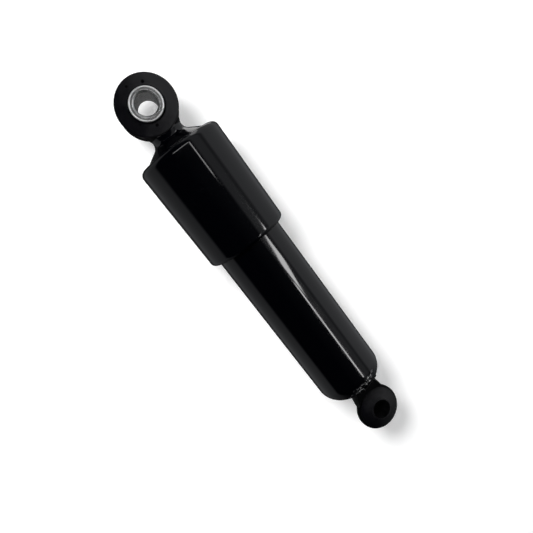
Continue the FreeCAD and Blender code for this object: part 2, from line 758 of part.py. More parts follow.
def rod_seal():
    """Rubber lip seal with a dust edge above, and the garter spring that closes its lip."""
    top = guide_depth + size.seal_clearance
    outside = size.seal_pocket_radius
    heel = outside - size.seal_wall
    back = rod_passage + size.seal_lip
    throat = rod_passage + size.seal_throat
    turned("rod_seal", top, [
        (rod_passage, 0), (outside, 0), (outside, size.seal_height), (heel, size.seal_height),
        (heel, size.seal_web), (back, size.seal_web), (back, size.seal_lip_end),
        (rod_passage, size.seal_edge), (throat, size.seal_throat_end),
        (throat, size.seal_dust_edge)])
    torus("garter_spring", top + size.garter_drop, back + size.garter_section,
          size.garter_section)


def pressure_tube():
    """Inner tube in which the piston runs."""
    length = foot_face + size.foot_spigot - guide_shoulder
    tube("pressure_tube", guide_shoulder, size.pressure_bore, size.pressure_wall, length,
         size.pressure_wall / 3)


# ------------------------------------------------------------------------------------------
# Foot valve
# ------------------------------------------------------------------------------------------

def foot_valve_body():
    """Foot valve: boss, spigot, ports and a slotted skirt that stands in the dome."""
    top = size.foot_boss_height
    under = top + size.foot_disc
    end = under + size.skirt_length
    skirt_inside = size.skirt_radius - size.skirt_wall
    body = turned("foot_valve_body", foot_boss, [
        (size.pin_radius, 0), (size.foot_boss_radius, 0), (size.foot_boss_radius, top),
        (spigot_outside, top), (spigot_outside, top + size.foot_spigot),
        (size.skirt_radius, top + size.foot_spigot), (size.skirt_radius, end),
        (skirt_inside, end), (skirt_inside, under), (size.pin_radius, under)])
    drill_ring(body, size.foot_inner_circle, size.foot_inner_port, size.port_count)
    drill_ring(body, size.foot_outer_circle, size.foot_outer_port, size.port_count)
    sketch = new_sketch(body, "YZ_Plane")
    half = size.skirt_slot / 2
    slot_top = -(end - size.skirt_slot_height)
    below = -(end + size.skirt_wall)
    outline(sketch, [(-half, below), (half, below), (half, slot_top), (-half, slot_top)])
    pocket = cut_through(body, sketch)
    axis = new_sketch(body, "XY_Plane")
    repeat_round_axis(body, pocket, axis, 2)


def foot_valve_fittings():
    """Check plate, its spring and stop, the bleed discs and the pin through them all."""
    plate_depth = foot_face - size.foot_plate_thickness
    washer("foot_check_plate", plate_depth, size.foot_boss_radius + size.plate_gap,
           size.foot_plate_radius, size.foot_plate_thickness)
    coil("foot_check_spring", foot_boss, size.foot_spring_radius, size.foot_wire_radius,
         size.foot_boss_height - size.foot_plate_thickness, 1.75)
    ported_plate("foot_stop_plate", foot_stop, size.pin_radius, size.foot_stop_radius,
                 size.foot_stop_thickness, size.foot_inner_circle, size.foot_inner_port)
    pin_top = foot_stop - size.pin_head_height
    shims = size.shim_thickness * size.shim_count
    seat = foot_under + shims - pin_top
    turned("foot_valve_pin", pin_top, [
        (0, 0), (size.pin_head_radius, 0, size.pin_head_height / 2),
        (size.pin_head_radius, size.pin_head_height), (size.pin_radius, size.pin_head_height),
        (size.pin_radius, seat), (size.pin_end_radius, seat),
        (size.pin_end_radius, seat + size.pin_end_height, size.pin_end_height / 2),
        (0, seat + size.pin_end_height)])
    foot_shims()


def foot_shims():
    """Stack of spring-steel discs under the foot valve, each smaller than the last."""
    discs = []
    for k in range(int(size.shim_count.value)):
        radius = size.shim_radius - size.shim_step * k
        disc = doc.addObject("Part::Cylinder", "shim_disc_%d" % k)
        hole = doc.addObject("Part::Cylinder", "shim_hole_%d" % k)
        for shape, reach in ((disc, radius), (hole, size.pin_radius)):
            bind(shape, "Radius", reach)
            bind(shape, "Height", size.shim_thickness)
            place(shape, foot_under + size.shim_thickness * (k + 1))
        shim = doc.addObject("Part::Cut", "shim_%d" % k)
        shim.Base = disc
        shim.Tool = hole
        discs.append(shim)
    stack = doc.addObject("Part::Compound", "foot_shims")
    stack.Label = "foot_shims"
    stack.Links = discs
    NODES.append(stack)


# ------------------------------------------------------------------------------------------
# Lower eye
# ------------------------------------------------------------------------------------------

def dome_plug():
    """The reservoir's closed end as a solid, which shapes what is welded to it."""
    length = size.dome_radius * 2
    return turned("dome_plug", size.tube_end - length, [
        (0, 0), (size.tube_radius, 0), (size.tube_radius, length, size.dome_radius),
        (0, length)])


def lower_weld():
    """Weld between the dome and the lower ring, waisted between the two."""
    drop = size.eye_distance - size.tube_end
    wide = size.weld_waist + size.weld_spread
    seat = wide + size.lower_eye_offset - dome_centre
    top = -(size.dome_radius - root(size.dome_radius * size.dome_radius - seat * seat))
    end = drop - under_ring(size.lower_ring_radius, wide)
    blank = turned("lower_weld_blank", size.tube_end, [
        (0, top), (wide, top), (size.weld_waist, size.weld_depth, size.weld_hollow),
        (wide, end), (0, end)])
    turn_to_lower_eye(blank)
    narrow = size.lower_ring_width / 2 + size.weld_leg
    for side in (1, -1):
        sketch = new_sketch(blank, "YZ_Plane")
        outline(sketch, [
            (size.weld_breadth * side, -top), (wide * side, -top), (wide * side, -end),
            (narrow * side, -end)])
        cut_through(blank, sketch)
    clear_eye(blank, -drop, size.lower_ring_radius, size.lower_ring_width, lower_face_radius)
    plug = dome_plug()
    NODES.remove(plug)
    cut_piece("lower_weld", blank, plug)


def bush_side(reach, way):
    """One end of the lower bush's outline, from its bore to the ring, towards -Y or +Y."""
    seat = size.lower_ring_width / 2
    edge = seat + size.lower_shoulder
    bore = size.lower_bore_radius
    lip = bore + size.lower_lip_wall
    lip_root = reach - size.lower_lip_height
    return [
        (reach * way, bore), (reach * way, lip, size.lower_lip_height / 2),
        (lip_root * way, lip), (edge * way, lower_face_radius, size.lower_shoulder / 2),
        (seat * way, lower_face_radius), (seat * way, size.lower_ring_radius - size.ring_wall)]


def lower_bush():
    """Rubber bush, coned over each face of the ring, with a lip round its bare bore."""
    front = bush_side(size.lower_bush_front, -1)
    back = bush_side(size.lower_bush_back, 1)
    front.reverse()
    bush = eye_piece("lower_bush", size.eye_distance, back + front)
    turn_to_lower_eye(bush)


# ------------------------------------------------------------------------------------------
# Build, check and write
# ------------------------------------------------------------------------------------------

def build():
    """Makes every piece of the damper."""
    upper_sleeve()
    upper_bush()
    eye_ring("upper_ring", 0, size.upper_ring_radius, size.upper_ring_width,
             size.upper_ring_edge)
    upper_weld(upper_stem())
    dust_shroud()
    washer("shroud_washer", washer_depth, size.thread_radius, size.washer_radius,
           size.washer_thickness)
    piston_rod()
    rebound_stop()
    ported_plate("check_stop_plate", stop_depth, size.spigot_radius, size.stop_plate_radius,
                 size.stop_plate_thickness, size.inner_port_circle, size.inner_port_radius)
    piston()
    piston_band()
    piston_valves()
    piston_nut()
    reservoir_tube()
    seals_and_guide()
    pressure_tube()
    foot_valve_body()
    foot_valve_fittings()
    lower_weld()
    ring = eye_ring("lower_ring", size.eye_distance, size.lower_ring_radius,
                    size.lower_ring_width, size.lower_ring_edge)
    turn_to_lower_eye(ring)
    lower_bush()
    doc.recompute()


def check():
    """Stops if any feature failed or any piece has no sound solid."""
    for feature in doc.Objects:
        for flag in ("Invalid", "Error"):
            if flag in feature.State:
                raise RuntimeError("%s is %s" % (feature.Label, flag))
    for node in NODES:
        if node.Shape.isNull() or not node.Shape.isValid() or not node.Shape.Solids:
            raise RuntimeError("%s has no sound solid" % node.Label)


def write():
    """Writes each piece to its own STEP file."""
    for node in NODES:
        node.Shape.exportStep("parts/%s.step" % node.Label)


build()
check()
write()
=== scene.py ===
import json
import math

import bmesh
import bpy
from mathutils import Matrix, Quaternion, Vector
from mathutils.bvhtree import BVHTree


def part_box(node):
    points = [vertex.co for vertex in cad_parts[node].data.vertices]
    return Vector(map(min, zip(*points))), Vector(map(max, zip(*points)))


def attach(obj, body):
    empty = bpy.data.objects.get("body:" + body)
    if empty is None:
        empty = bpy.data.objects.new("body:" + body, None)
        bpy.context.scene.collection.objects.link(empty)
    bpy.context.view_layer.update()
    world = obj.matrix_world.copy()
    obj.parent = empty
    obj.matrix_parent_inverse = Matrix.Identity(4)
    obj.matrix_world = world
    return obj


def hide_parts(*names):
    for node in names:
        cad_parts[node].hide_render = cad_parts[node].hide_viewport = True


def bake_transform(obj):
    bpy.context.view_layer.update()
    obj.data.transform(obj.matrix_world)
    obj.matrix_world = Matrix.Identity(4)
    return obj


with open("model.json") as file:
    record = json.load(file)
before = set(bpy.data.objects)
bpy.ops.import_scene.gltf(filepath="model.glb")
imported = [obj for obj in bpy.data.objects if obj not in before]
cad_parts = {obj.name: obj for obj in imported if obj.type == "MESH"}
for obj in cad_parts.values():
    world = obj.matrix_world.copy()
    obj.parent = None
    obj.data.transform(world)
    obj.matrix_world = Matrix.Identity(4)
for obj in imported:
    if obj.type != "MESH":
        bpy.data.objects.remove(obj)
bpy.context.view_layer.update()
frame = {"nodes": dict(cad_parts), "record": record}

# Looks of the rear shock. The damper's axis is Z, and the upper bolt's middle is the origin.
# The bolts run along Y, and the camera looks at their ends from -Y. Lengths are metres, and
# a comment says where they are millimetres.

MM = 0.001

RECORD = frame["record"]
LOWER_EYE = next(mount for mount in RECORD["mounts"] if mount["name"] == "lower_eye")
LOWER_PLACE = Vector(LOWER_EYE["pos_m"])
LOWER_TURN = math.atan2(-LOWER_EYE["axis"][0], LOWER_EYE["axis"][1])


def around(degrees, height):
    """A point a metre from the damper's axis, at an angle round Z from -Y towards +X."""
    angle = math.radians(degrees)
    return Vector((math.sin(angle), -math.cos(angle), height))


# ------------------------------------------------------------------------------------------
# Materials
# ------------------------------------------------------------------------------------------

class Nodes:
    """Short ways to add and link the nodes of one tree."""

    def __init__(self, tree):
        self.tree = tree

    def add(self, kind, **settings):
        node = self.tree.nodes.new(kind)
        for name, value in settings.items():
            setattr(node, name, value)
        return node

    def link(self, output, socket):
        self.tree.links.new(output, socket)

    def calculate(self, operation, *values, **settings):
        """A Math node on outputs and plain numbers."""
        node = self.add("ShaderNodeMath", operation=operation, **settings)
        for value, socket in zip(values, node.inputs):
            if isinstance(value, bpy.types.NodeSocket):
                self.link(value, socket)
            else:
                socket.default_value = value
        return node.outputs[0]

    def spread(self, value, low, high, start=0.3, end=0.7):
        """Maps start..end of a value to low..high."""
        node = self.add("ShaderNodeMapRange")
        node.inputs["From Min"].default_value = start
        node.inputs["From Max"].default_value = end
        node.inputs["To Min"].default_value = low
        node.inputs["To Max"].default_value = high
        self.link(value, node.inputs["Value"])
        return node.outputs["Result"]


class Material(Nodes):
    """A material whose surface shader takes its colour, polish and relief from noise."""

    def __init__(self, name):
        self.material = bpy.data.materials.new(name)
        self.material.use_nodes = True
        super().__init__(self.material.node_tree)
        self.shader = self.tree.nodes["Principled BSDF"]
        self.coordinates = self.add("ShaderNodeTexCoord")

    def set(self, **values):
        """Constants on the surface shader, with underscores for the spaces in the names."""
        for name, value in values.items():
            self.shader.inputs[name.replace("_", " ")].default_value = value

    def noise(self, scale, detail, roughness, stretch=(1, 1, 1)):
        mapping = self.add("ShaderNodeMapping")
        mapping.inputs["Scale"].default_value = stretch
        self.link(self.coordinates.outputs["Object"], mapping.inputs["Vector"])
        node = self.add("ShaderNodeTexNoise")
        node.inputs["Scale"].default_value = scale
        node.inputs["Detail"].default_value = detail
        node.inputs["Roughness"].default_value = roughness
        self.link(mapping.outputs["Vector"], node.inputs["Vector"])
        return node.outputs["Fac"]

    def mix(self, share, first, second):
        """A colour between two."""
        node = self.add("ShaderNodeMix", data_type="RGBA")
        self.link(share, node.inputs["Factor"])
        # The colour sockets share their names with others of the node, so they go by number.
        node.inputs[6].default_value = (*first, 1)
        node.inputs[7].default_value = (*second, 1)
        return node.outputs[2]

    def bump(self, height, distance, strength, under=None):
        node = self.add("ShaderNodeBump")
        node.inputs["Distance"].default_value = distance
        node.inputs["Strength"].default_value = strength
        self.link(height, node.inputs["Height"])
        if under is not None:
            self.link(under, node.inputs["Normal"])
        return node.outputs["Normal"]

    def finish(self, colour, roughness, normal):
        self.link(colour, self.shader.inputs["Base Color"])
        self.link(roughness, self.shader.inputs["Roughness"])
        self.link(normal, self.shader.inputs["Normal"])
        return self.material


def black_paint():
    """Thick gloss black with a little orange peel, dust and rub marks."""
    m = Material("black_paint")
    m.set(IOR=1.5)
    dust = m.spread(m.noise(900, 3, 0.7), 0.0, 1.0, 0.66, 0.76)
    colour = m.mix(dust, (0.0002, 0.0003, 0.0008), (0.005, 0.005, 0.006))
    haze = m.spread(m.noise(60, 5, 0.6), 0.05, 0.13)
    scuffs = m.spread(m.noise(240, 4, 0.7, (1, 1, 0.15)), 0.0, 0.05, 0.60, 0.75)
    waves = m.bump(m.noise(40, 2, 0.4), 0.0001, 0.12)
    peel = m.bump(m.noise(420, 2, 0.5), 0.00001, 0.03, waves)
    return m.finish(colour, m.calculate("ADD", haze, scuffs), peel)


def welded_paint(name, ior, gloss, low, high):
    """The same black over welds and rings, with dust and spatter; roughness from low to high."""
    m = Material(name)
    m.set(IOR=ior, Specular_IOR_Level=gloss)
    dust = m.spread(m.noise(700, 4, 0.7), 0.0, 1.0, 0.55, 0.75)
    colour = m.mix(dust, (0.0002, 0.0003, 0.0006), (0.0025, 0.0025, 0.0032))
    rough = m.spread(m.noise(240, 4, 0.6), low, high)
    spatter = m.bump(m.noise(700, 3, 0.6), 0.00008, 0.5)
    return m.finish(colour, rough, spatter)


def moulded_rubber():
    """Matt dark rubber in patches, painted paler towards each piece's +X side as if lit from
    there.
    """
    m = Material("moulded_rubber")
    m.set(IOR=1.40, Specular_IOR_Level=0.10)
    across = m.add("ShaderNodeSeparateXYZ")
    m.link(m.coordinates.outputs["Generated"], across.inputs[0])
    # Painted light: the colour gets paler towards +X, the side the light falls on, over random
    # patches.
    patches_and_lit_side = m.calculate("MULTIPLY_ADD", m.noise(90, 5, 0.65), 0.8, across.outputs["X"])
    painted_light_and_patches = m.spread(patches_and_lit_side, 0.0, 1.0, 0.60, 1.20)
    colour = m.mix(painted_light_and_patches, (0.0016, 0.0016, 0.0024), (0.0150, 0.0150, 0.0160))
    rough = m.spread(m.noise(300, 4, 0.6), 0.5, 0.75)
    grain = m.bump(m.noise(1600, 3, 0.6), 0.00003, 0.6)
    return m.finish(colour, rough, grain)


def dark_rubber():
    """Blacker, duller rubber: painted shade inside the lower bore and on the mould's marks."""
    m = Material("painted_shade_rubber")
    m.set(IOR=1.3, Specular_IOR_Level=0.1)
    # Painted shade, streaked along the bolt at random.
    shade_streaks = m.spread(m.noise(200, 4, 0.6, (1, 0.2, 1)), 0.0, 1.0)
    colour = m.mix(shade_streaks, (0.0004, 0.0004, 0.0005), (0.0020, 0.0020, 0.0022))
    rough = m.spread(m.noise(400, 3, 0.6), 0.85, 1.0)
    return m.finish(colour, rough, m.bump(m.noise(900, 3, 0.6), 0.00003, 0.5))


def zinc_plate():
    """Dulled zinc on turned steel: cloudy grey over fine rings from the lathe."""
    m = Material("zinc_plate")
    m.set(Metallic=1.0)
    cloud = m.spread(m.noise(180, 4, 0.6), 0.0, 1.0)
    colour = m.mix(cloud, (0.05, 0.052, 0.055), (0.14, 0.14, 0.14))
    rough = m.spread(m.noise(500, 4, 0.6), 0.22, 0.40)
    rings = m.bump(m.noise(140, 2, 0.5, (0.1, 6, 0.1)), 0.00012, 0.8)
    return m.finish(colour, rough, rings)


def bright_zinc(name, metallic):
    """Pale zinc for the rim and lip of the sleeve's ends: a painted highlight, with a diffuse
    share where it is less than fully metallic.
    """
    m = Material(name)
    m.set(Metallic=metallic)
    cloud = m.spread(m.noise(150, 4, 0.6), 0.0, 1.0)
    colour = m.mix(cloud, (0.70, 0.71, 0.72), (0.90, 0.90, 0.89))
    rough = m.spread(m.noise(300, 4, 0.6), 0.28, 0.42)
    return m.finish(colour, rough, m.bump(m.noise(500, 3, 0.6), 0.00001, 0.3))


def metal(name, dark, light, rough_low, rough_high, scale=300, stretch=(1, 1, 1), depth=0.00002):
    """Bare metal that varies in colour and polish between two values."""
    m = Material(name)
    m.set(Metallic=1.0)
    cloud = m.spread(m.noise(scale * 0.3, 4, 0.6), 0.0, 1.0)
    colour = m.mix(cloud, dark, light)
    rough = m.spread(m.noise(scale, 4, 0.6, stretch), rough_low, rough_high)
    grain = m.bump(m.noise(scale * 3, 3, 0.6, stretch), depth, 0.6)
    return m.finish(colour, rough, grain)


def sliding_plastic():
    """Dark filled plastic of the piston band."""
    m = Material("sliding_plastic")
    speckle = m.spread(m.noise(900, 3, 0.6), 0.0, 1.0, 0.45, 0.65)
    colour = m.mix(speckle, (0.020, 0.016, 0.013), (0.060, 0.045, 0.035))
    rough = m.spread(m.noise(200, 4, 0.6), 0.35, 0.55)
    grain = m.bump(m.noise(1200, 3, 0.6), 0.00002, 0.5)
    return m.finish(colour, rough, grain)


# The finish of each material slot in the record.
FINISHES = {
    "black_paint": black_paint(),
    "rubber": moulded_rubber(),
    "zinc_steel": zinc_plate(),
    "steel": metal("plain_steel", (0.32, 0.32, 0.33), (0.46, 0.46, 0.46), 0.25, 0.45),
    "chrome_rod": metal("hard_chrome", (0.62, 0.63, 0.65), (0.70, 0.71, 0.72), 0.06, 0.14,
                        stretch=(1, 1, 0.1)),
    "spring_steel": metal("spring_steel", (0.20, 0.20, 0.22), (0.34, 0.34, 0.35), 0.28, 0.42),
    "sintered_iron": metal("sintered_iron", (0.16, 0.155, 0.15), (0.27, 0.26, 0.25), 0.45, 0.65,
                           scale=900, depth=0.00005),
    "sliding_plastic": sliding_plastic(),
    "bearing_bronze": metal("bearing_bronze", (0.46, 0.27, 0.12), (0.62, 0.40, 0.20), 0.28, 0.45),
}
# The painted nodes that are duller than the tubes, and the finishes of the scene's own pieces.
WELDED_NODES = ("upper_ring", "upper_weld", "lower_ring", "lower_weld")
WELDED = welded_paint("welded_paint", 1.45, 0.11, 0.45, 0.65)
BEADS = welded_paint("bead_paint", 1.75, 1.00, 0.08, 0.16)
# The darker rubber is painted shade.
DARK_RUBBER = dark_rubber()
# The sleeve's rim and lip are painted paler than its zinc: painted highlights, with the groove
# between them keeping the sleeve's darker zinc.
RIM_ZINC = bright_zinc("rim_zinc", 0.80)
LIP_ZINC = bright_zinc("lip_zinc", 0.97)


def dress_nodes():
    """Gives every CAD node its finish: the duller paint for the welded nodes, and for the rest
    the finish of the material slot that the record names.
    """
    for entry in RECORD["subparts"]:
        node, slot = entry["node"], entry["material_slot"]
        piece = frame["nodes"][node]
        if not piece.material_slots:
            piece.data.materials.append(None)
        for held in piece.material_slots:
            held.material = WELDED if node in WELDED_NODES else FINISHES[slot]


# ------------------------------------------------------------------------------------------
# Detail on the CAD pieces
# ------------------------------------------------------------------------------------------

# Sections of the sleeve's machined ends, in mm: (out from its outer radius, past its end).
RIM = ((0.03, -0.95), (0.04, -0.40), (-0.12, 0.05), (-0.40, 0.24), (-0.75, 0.24),
       (-0.98, 0.08), (-1.02, -0.20), (-0.60, -1.10))
LIP = ((-1.95, -0.20), (-1.98, 0.05), (-2.12, 0.12), (-2.35, -0.02), (-2.75, -0.42),
       (-3.12, -0.80), (-3.17, -1.00), (-2.90, -1.30))

# The lining is a dark sheet of painted shade.
# The lining of the lower bore, in mm: how far it stands off the rubber and reaches into it,
# how far it stops short of the bush's ends, and where the bush's front is along its bolt.
LINING_OVER, LINING_UNDER, LINING_SHORT = 0.03, 0.02, 0.1
BUSH_FRONT = -6.0

# Marks of the mould on the upper bush: (mm from the bore's middle, degrees from the top
# towards +X, radius in mm). Each stands on a sunk foot and narrows to a small flat top.
MARKS = ((11.8, 29, 0.85), (13.1, -12, 0.7), (11.1, -125, 0.6), (11.4, -170, 0.8))
MARK_RISE = 0.42
MARK_TOP = 0.15
MARK_SUNK = 0.05

# The weld run round the lower eye's web: half its width and depth and its radius, in mm, the
# power that squares its corners (1 would be an ellipse), and its ripples per point.
WEB_WIDE, WEB_DEEP, WEB_THICK = 10.0, 8.8, 2.0
WEB_SQUARE = 0.55
WEB_RIPPLE = 0.09
# The runs on the dome's front: name, mm over the dome's lowest point, mm of climb per degree,
# first and last degree round Z from -Y towards +X, radius in mm, ripples per point.
FRONT_RUNS = (
    ("lower_weld_cap", 8.3, 0.07, -16, 36, 1.05, 0.058),
    ("lower_weld_toe", 6.0, 0.10, -24, 30, 1.15, 0.051),
)
# They wander up and down by this many mm, in waves of this many radians per point.
FRONT_WANDER, FRONT_WAVE = 0.3, 0.19
RAY_START = 60 * MM
BEAD_POINTS = 240
BEAD_SIDES = 10
TURN_STEPS = 96


def add_object(name, data):
    thing = bpy.data.objects.new(name, data)
    bpy.context.scene.collection.objects.link(thing)
    return thing


def add_piece(name, vertices, faces, material, body):
    """A smooth mesh piece that moves with a body."""
    mesh = bpy.data.meshes.new(name)
    mesh.from_pydata(vertices, [], faces)
    mesh.materials.append(material)
    for face in mesh.polygons:
        face.use_smooth = True
    piece = add_object(name, mesh)
    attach(piece, body)
    return piece


def skin(rows, points, closed):
    """Faces between neighbouring rows of points, where each row closes on itself."""
    faces = []
    for row in range(rows if closed else rows - 1):
        after = (row + 1) % rows
        for point in range(points):
            beyond = (point + 1) % points
            faces.append((row * points + point, row * points + beyond,
                          after * points + beyond, after * points + point))
    return faces


def turned_on_bolt(name, outline, material, body, place=(0, 0, 0), turn=0.0):
    """A closed outline of (radius, way along the bolt) in mm, turned about the bolt's line."""
    about = Matrix.Translation(place) @ Matrix.Rotation(turn, 4, "Z")
    vertices = []
    for step in range(TURN_STEPS):
        angle = 2 * math.pi * step / TURN_STEPS
        for radius, along in outline:
            point = Vector((radius * math.cos(angle), along, radius * math.sin(angle))) * MM
            vertices.append(about @ point)
    faces = skin(TURN_STEPS, len(outline), True)
    return add_piece(name, vertices, faces, material, body)


def sleeve_ends():
    """Machined ends of the spacer sleeve: a raised rim, a shallow groove and an eased bore."""
    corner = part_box("upper_sleeve")[1] / MM
    for side, way in (("front", -1), ("back", 1)):
        # Rim and lip take the pale zinc: painted highlights.
        for part, section, finish in (("rim", RIM, RIM_ZINC), ("lip", LIP, LIP_ZINC)):
            outline = [(corner.x + out, way * (corner.y + past)) for out, past in section]
            piece = turned_on_bolt(f"sleeve_{part}_{side}", outline, finish,
                                   "sleeve")
            smooth = piece.modifiers.new("smooth", "SUBSURF")
            smooth.levels = smooth.render_levels = 1


def bore_lining():
    """A dark sheet over the wall inside the lower rubber bush's bore: painted shade that keeps
    the bore black.
    """
    bore = LOWER_EYE["dims"]
    near, far = bore["r_mm"] - LINING_OVER, bore["r_mm"] + LINING_UNDER
    front = BUSH_FRONT + LINING_SHORT
    back = BUSH_FRONT + bore["length_mm"] - LINING_SHORT
    outline = [(near, front), (near, back), (far, back), (far, front)]
    turned_on_bolt("lower_bore_painted_shade", outline, DARK_RUBBER, "cylinder",
                   LOWER_PLACE, LOWER_TURN)


def moulding_pips():
    """Small raised marks that the mould leaves on both faces of the upper rubber bush."""
    low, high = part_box("upper_bush")
    steps, rings = 16, 5
    for way, face, side in ((-1, low.y, "front"), (1, high.y, "back")):
        for number, (away, degrees, size) in enumerate(MARKS):
            angle = math.radians(degrees)
            centre = Vector((away * math.sin(angle), 0, away * math.cos(angle))) * MM
            vertices = []
            for ring in range(rings):
                share = ring / (rings - 1)
                reach = size * MM * (1 + MARK_TOP - share)
                height = (MARK_RISE * size * (1 - (1 - share) ** 2) - MARK_SUNK) * MM
                for step in range(steps):
                    around_it = 2 * math.pi * step / steps
                    vertices.append(centre + Vector((
                        reach * math.cos(around_it), face + way * height,
                        reach * math.sin(around_it))))
            top = tuple(range((rings - 1) * steps, rings * steps))
            # The marks are in the darker rubber: painted shade.
            add_piece(f"moulding_pip_{side}_{number}", vertices,
                      skin(rings, steps, False) + [top], DARK_RUBBER, "rod_side")


def bead_size(index, count, ripple, closed):
    """How thick a bead is at one of its points, as a share of its full size."""
    # Each ripple grows from its foot and drops to the next one's.
    heaped = 0.62 + 0.50 * ((index * ripple) % 1.0) ** 0.7
    # The welder's hand makes some of them larger than others.
    uneven = 1 + 0.12 * math.sin(index * 0.37)
    if closed:
        thinned = 0.45 + 0.55 * abs(math.sin(2 * math.pi * index / count))
    else:
        thinned = min(1.0, 0.15 + 8.0 * min(index, count - 1 - index) / count)
    return heaped * uneven * thinned


def weld_bead(name, path, thick, ripple, closed):
    """A run of weld along a path: ripples heaped on each other, thinner at its ends.

    A closed run is thinner where it starts and on the far side from there.
    """
    count = len(path)
    vertices = []
    for index, point in enumerate(path):
        before = path[index - 1] if closed or index else point
        beyond = path[(index + 1) % count] if closed or index < count - 1 else point
        ahead = (beyond - before).normalized()
        out = ahead.cross(Vector((0, 0, 1))).normalized()
        up = out.cross(ahead)
        radius = thick * MM * bead_size(index, count, ripple, closed)
        for side in range(BEAD_SIDES):
            angle = 2 * math.pi * side / BEAD_SIDES
            vertices.append(point + (out * math.cos(angle) + up * math.sin(angle)) * radius)
    faces = skin(count, BEAD_SIDES, closed)
    if not closed:
        faces.append(tuple(range(BEAD_SIDES)))
        faces.append(tuple(range((count - 1) * BEAD_SIDES, count * BEAD_SIDES)))
    add_piece(name, vertices, faces, BEADS, "cylinder")


def lower_beads():
    """Weld where the lower eye's web meets the dome: a run round the web and two in front."""
    graph = bpy.context.evaluated_depsgraph_get()
    dome = BVHTree.FromObject(frame["nodes"]["reservoir_tube"], graph)
    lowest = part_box("reservoir_tube")[0].z

    def squarish(value):
        return math.copysign(abs(value) ** WEB_SQUARE, value)

    path = []
    for point in range(BEAD_POINTS):
        angle = 2 * math.pi * point / BEAD_POINTS
        across = Vector((WEB_WIDE * squarish(math.cos(angle)),
                         WEB_DEEP * squarish(math.sin(angle)), 0)) * MM
        across.rotate(Matrix.Rotation(LOWER_TURN, 3, "Z"))
        start = Vector((LOWER_PLACE.x + across.x, across.y, LOWER_PLACE.z))
        path.append(dome.ray_cast(start, Vector((0, 0, 1)))[0])
    weld_bead("lower_weld_root", path, WEB_THICK, WEB_RIPPLE, True)

    for name, height, climb, first, last, thick, ripple in FRONT_RUNS:
        path = []
        for point in range(BEAD_POINTS // 2):
            degrees = first + (last - first) * point / (BEAD_POINTS // 2 - 1)
            wander = FRONT_WANDER * math.sin(point * FRONT_WAVE)
            level = lowest + (height + climb * max(degrees, 0) + wander) * MM
            away = around(degrees, 0)
            path.append(dome.ray_cast(away * RAY_START + Vector((0, 0, level)), -away)[0])
        weld_bead(name, path, thick, ripple, False)


def flexing_springs():
    """Copies in spring steel of the valve springs, which shorten between their fixed end and the
    plate they press on; their CAD nodes are hidden.
    """
    for joint in RECORD["behaviour"]["joints"]:
        for entry in joint.get("deforming_nodes", ()):
            node = entry["node"]
            work = bmesh.new()
            work.from_mesh(frame["nodes"][node].data)
            mesh = bpy.data.meshes.new(node + "_wire")
            work.to_mesh(mesh)
            work.free()
            mesh.materials.clear()
            mesh.materials.append(FINISHES["spring_steel"])
            piece = add_object(node + "_wire", mesh)
            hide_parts(node)
            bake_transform(piece)


# ------------------------------------------------------------------------------------------
# Stage: pale surface, light and camera
# ------------------------------------------------------------------------------------------

CAMERA_PLACE = Vector((-16.26, -273.10, -48.49)) * MM
CAMERA_TARGET = Vector((-0.40, 0.0, -110.06)) * MM
CAMERA_ROLL = math.radians(37.10)
LENS_MM, SENSOR_MM = 31.9, 36.0
NEAR_CLIP, FAR_CLIP = 0.01, 20.0

# The pale sheet: its gap behind the shroud, half its size, its grey, and what the camera sees
# on top of the light that falls on it.
BACKDROP_GAP = 0.012
BACKDROP_REACH = 3.0
BACKDROP_GREY = 0.8
BACKDROP_GLOW = 0.33

# The room's grey at each angle round Z, from -Y (0) through +X (90) to behind the damper (180).
ROOM = ((-180, 0.03), (-150, 0.035), (-136, 0.27), (-84, 0.26), (-76, 0.004), (-14, 0.004),
        (18, 0.03), (30, 0.04), (36, 0.32), (54, 0.32), (59, 0.18), (63, 0.20), (69, 0.50),
        (95, 0.44), (115, 0.36), (132, 0.34), (148, 0.08), (180, 0.03))
# Its green and blue over its red: the room is a little cold.
ROOM_GREEN, ROOM_BLUE = 1.02, 1.06
# A direction's Z where the room is black, and from where up it has its full strength.
FLOOR_DARK = (-0.95, -0.45)
# A direction's Y where reflections start to show the white behind the damper, and where they
# show the most of it, and how much that is: all of it makes the sleeve's bore too light.
BEHIND = (0.96, 1.0)
WHITE_SHARE = 0.60

# The lamp that throws the drop shadow, near the camera.
KEY_PLACE = (-0.050, -0.273, 0.078)
KEY_RADIUS = 0.055
KEY_POWER = 42
# Lit panels a metre from the axis: name, two ends as (degrees round Z from -Y towards +X,
# height), width, brightness. The first three draw the bright lines down the gloss paint, the
# next two draw the line on the shroud's shoulder and light the sleeve's front, and the last
# two fill in from behind and above.
PANELS = (
    ("line_on_shroud", (26.5, 0.06), (26.5, -0.07), 0.045, 4),
    ("broad_on_tube", (54, -0.285), (38, -0.40), 0.11, 8),
    ("line_on_tube", (34, -0.41), (31, -0.77), 0.07, 9),
    ("front_high", (-20, 0.19), (25, 0.19), 0.09, 3.6),
    ("front_low", (-20, 0.09), (25, 0.09), 0.03, 2.5),
    ("behind", (140, 0.60), (175, 0.60), 0.4, 0.8),
    ("above", (70, 1.4), (150, 1.4), 0.7, 1.0),
)
# Watts per square metre of a panel with a brightness of 1.
PANEL_POWER = 4


def make_camera():
    data = bpy.data.cameras.new("camera")
    data.sensor_width = SENSOR_MM
    data.lens = LENS_MM
    data.clip_start = NEAR_CLIP
    data.clip_end = FAR_CLIP
    camera = add_object("camera", data)
    camera.location = CAMERA_PLACE
    camera.rotation_mode = "QUATERNION"
    look = (CAMERA_TARGET - CAMERA_PLACE).to_track_quat("-Z", "Y")
    camera.rotation_quaternion = look @ Quaternion((0, 0, 1), -CAMERA_ROLL)
    bpy.context.scene.camera = camera


